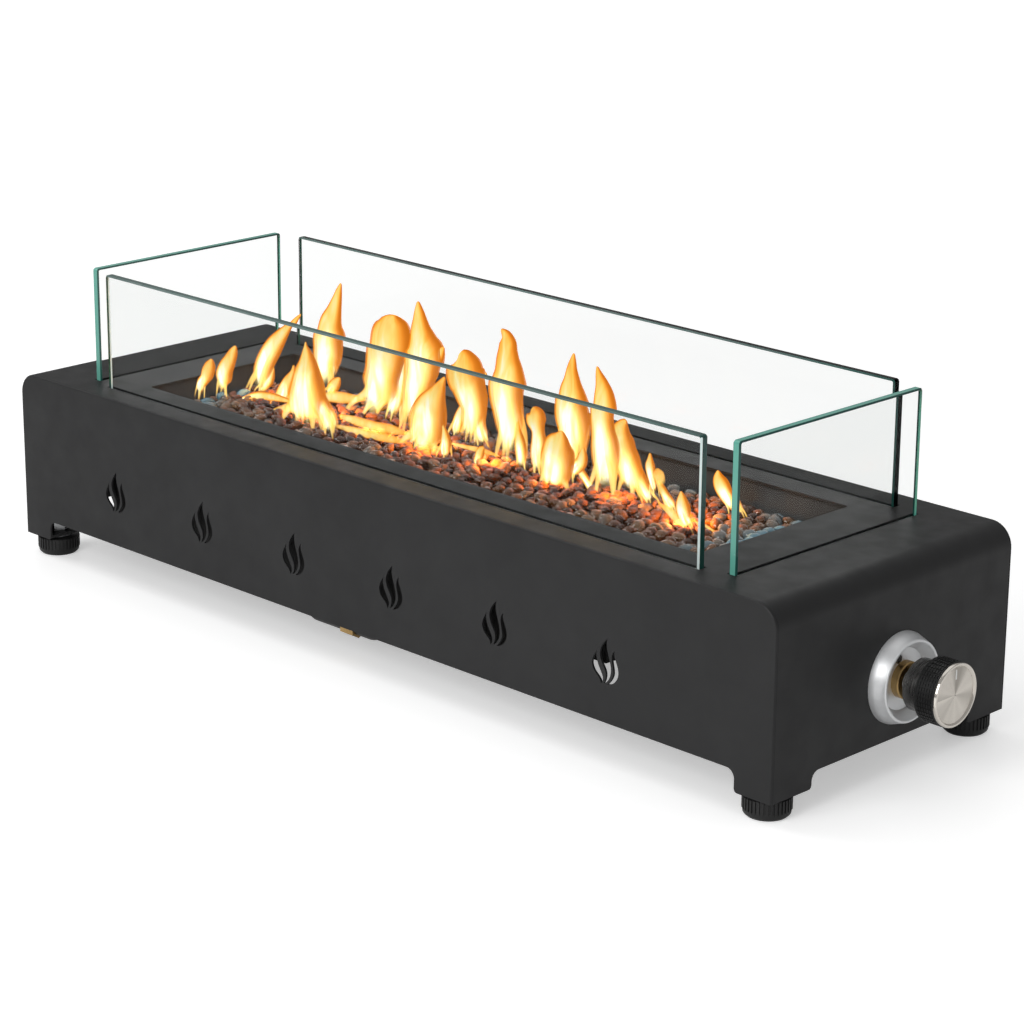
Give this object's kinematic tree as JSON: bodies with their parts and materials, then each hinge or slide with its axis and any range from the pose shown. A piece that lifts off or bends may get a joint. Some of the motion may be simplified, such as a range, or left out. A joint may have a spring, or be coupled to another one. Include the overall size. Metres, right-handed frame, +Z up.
{
  "type": "tabletop gas fire pit",
  "caption": "Long black sheet-steel tabletop gas fire pit with a bead-filled burner tray, a clear glass wind screen, a metal control knob on one end and screw levelling feet.",
  "frame": {"origin": "On the floor plane under the middle of the whole object, knob included", "axes": "+X along the body towards the control knob, -Y is the front, +Z is up"},
  "size_m": [0.7426, 0.22, 0.213],
  "materials": {
    "black_steel": "matte black powder coat",
    "pan_steel": "heat-resistant matte black",
    "zinc_steel": "zinc plated",
    "stainless": "plain stainless",
    "bead_glass": "clear to amber fire glass",
    "pane_glass": "clear tempered glass with green edges",
    "brass": "turned brass",
    "cast_aluminium": "die cast",
    "satin_aluminium": "satin silver",
    "dark_steel": "dark gunmetal",
    "black_plastic": "matte black",
    "spun_metal": "spun nickel with a polished rim",
    "ceramic": "glazed white",
    "black_pipe": "black",
    "foot_plastic": "matte black"
  },
  "bodies": {
    "fire_pit": {"top_wrap": "black_steel", "front_panel": "black_steel", "back_panel": "black_steel", "burner_pan": "pan_steel", "heat_shield": "pan_steel", "pan_fixings": "zinc_steel", "fire_glass_bed": "bead_glass", "fire_glass": "bead_glass", "burner_tube": "stainless", "burner_saddles": "stainless", "air_mixer": "zinc_steel", "injector": "brass", "feed_pipe": "stainless", "valve_body": "cast_aluminium", "valve_bracket": "zinc_steel", "valve_collar": "brass", "bezel": "satin_aluminium", "bezel_screws": "dark_steel", "piezo_igniter": "black_plastic", "igniter_ceramic": "ceramic", "igniter_pin": "stainless", "thermocouple": "stainless", "supply_pipe": "black_pipe", "pipe_union": "brass", "valve_pipe": "black_pipe", "gas_inlet": "brass", "inlet_bracket": "black_steel", "foot_nuts": "zinc_steel", "foot_washers": "zinc_steel", "channel_front": "zinc_steel", "channel_back": "zinc_steel", "channel_left": "zinc_steel", "channel_right": "zinc_steel", "gusset_front_left": "black_steel", "gusset_front_right": "black_steel", "gusset_back_left": "black_steel", "gusset_back_right": "black_steel"},
    "valve_plug": {"valve_rotor": "brass"},
    "knob": {"valve_stem": "dark_steel", "knob_skirt": "dark_steel", "knob_grip": "black_plastic", "knob_cap": "spun_metal"},
    "pane_front": {"glass_front": "pane_glass"},
    "pane_back": {"glass_back": "pane_glass"},
    "pane_left": {"glass_left": "pane_glass"},
    "pane_right": {"glass_right": "pane_glass"},
    "carrier_front_left": {"stud_front_left": "zinc_steel"},
    "leveller_front_left": {"foot_front_left": "foot_plastic"},
    "carrier_front_right": {"stud_front_right": "zinc_steel"},
    "leveller_front_right": {"foot_front_right": "foot_plastic"},
    "carrier_back_left": {"stud_back_left": "zinc_steel"},
    "leveller_back_left": {"foot_back_left": "foot_plastic"},
    "carrier_back_right": {"stud_back_right": "zinc_steel"},
    "leveller_back_right": {"foot_back_right": "foot_plastic"}
  },
  "joints": [
    {"name": "knob_turn", "type": "hinge", "parent": "fire_pit", "child": "valve_plug", "pos_m": [0.32875, 0.003, 0.0626], "axis": [1, 0, 0], "range_deg": [0, 180]},
    {"name": "knob_push", "type": "slide", "parent": "valve_plug", "child": "knob", "axis": [-1, 0, 0], "range_m": [0, 0.004], "stiffness_N_per_m": 400, "springref_m": -0.004},
    {"name": "pane_lift_front", "type": "slide", "parent": "fire_pit", "child": "pane_front", "axis": [0, 0, 1], "range_m": [0, 0.12]},
    {"name": "pane_lift_back", "type": "slide", "parent": "fire_pit", "child": "pane_back", "axis": [0, 0, 1], "range_m": [0, 0.12]},
    {"name": "pane_lift_left", "type": "slide", "parent": "fire_pit", "child": "pane_left", "axis": [0, 0, 1], "range_m": [0, 0.12]},
    {"name": "pane_lift_right", "type": "slide", "parent": "fire_pit", "child": "pane_right", "axis": [0, 0, 1], "range_m": [0, 0.12]},
    {"name": "foot_travel_front_left", "type": "slide", "parent": "fire_pit", "child": "carrier_front_left", "axis": [0, 0, 1], "range_m": [-0.008, 0]},
    {"name": "foot_turn_front_left", "type": "hinge", "parent": "carrier_front_left", "child": "leveller_front_left", "pos_m": [-0.35525, -0.094, 0], "axis": [0, 0, 1], "range_deg": [-2305, 1]},
    {"name": "foot_travel_front_right", "type": "slide", "parent": "fire_pit", "child": "carrier_front_right", "axis": [0, 0, 1], "range_m": [-0.008, 0]},
    {"name": "foot_turn_front_right", "type": "hinge", "parent": "carrier_front_right", "child": "leveller_front_right", "pos_m": [0.31275, -0.094, 0], "axis": [0, 0, 1], "range_deg": [-2305, 1]},
    {"name": "foot_travel_back_left", "type": "slide", "parent": "fire_pit", "child": "carrier_back_left", "axis": [0, 0, 1], "range_m": [-0.008, 0]},
    {"name": "foot_turn_back_left", "type": "hinge", "parent": "carrier_back_left", "child": "leveller_back_left", "pos_m": [-0.35525, 0.094, 0], "axis": [0, 0, 1], "range_deg": [-2305, 1]},
    {"name": "foot_travel_back_right", "type": "slide", "parent": "fire_pit", "child": "carrier_back_right", "axis": [0, 0, 1], "range_m": [-0.008, 0]},
    {"name": "foot_turn_back_right", "type": "hinge", "parent": "carrier_back_right", "child": "leveller_back_right", "pos_m": [0.31275, 0.094, 0], "axis": [0, 0, 1], "range_deg": [-2305, 1]}
  ],
  "couplings": [
    {"joint": "foot_turn_front_left", "follows": "foot_travel_front_left", "rad_per_m": 5026.5},
    {"joint": "foot_turn_front_right", "follows": "foot_travel_front_right", "rad_per_m": 5026.5},
    {"joint": "foot_turn_back_left", "follows": "foot_travel_back_left", "rad_per_m": 5026.5},
    {"joint": "foot_turn_back_right", "follows": "foot_travel_back_right", "rad_per_m": 5026.5}
  ]
}
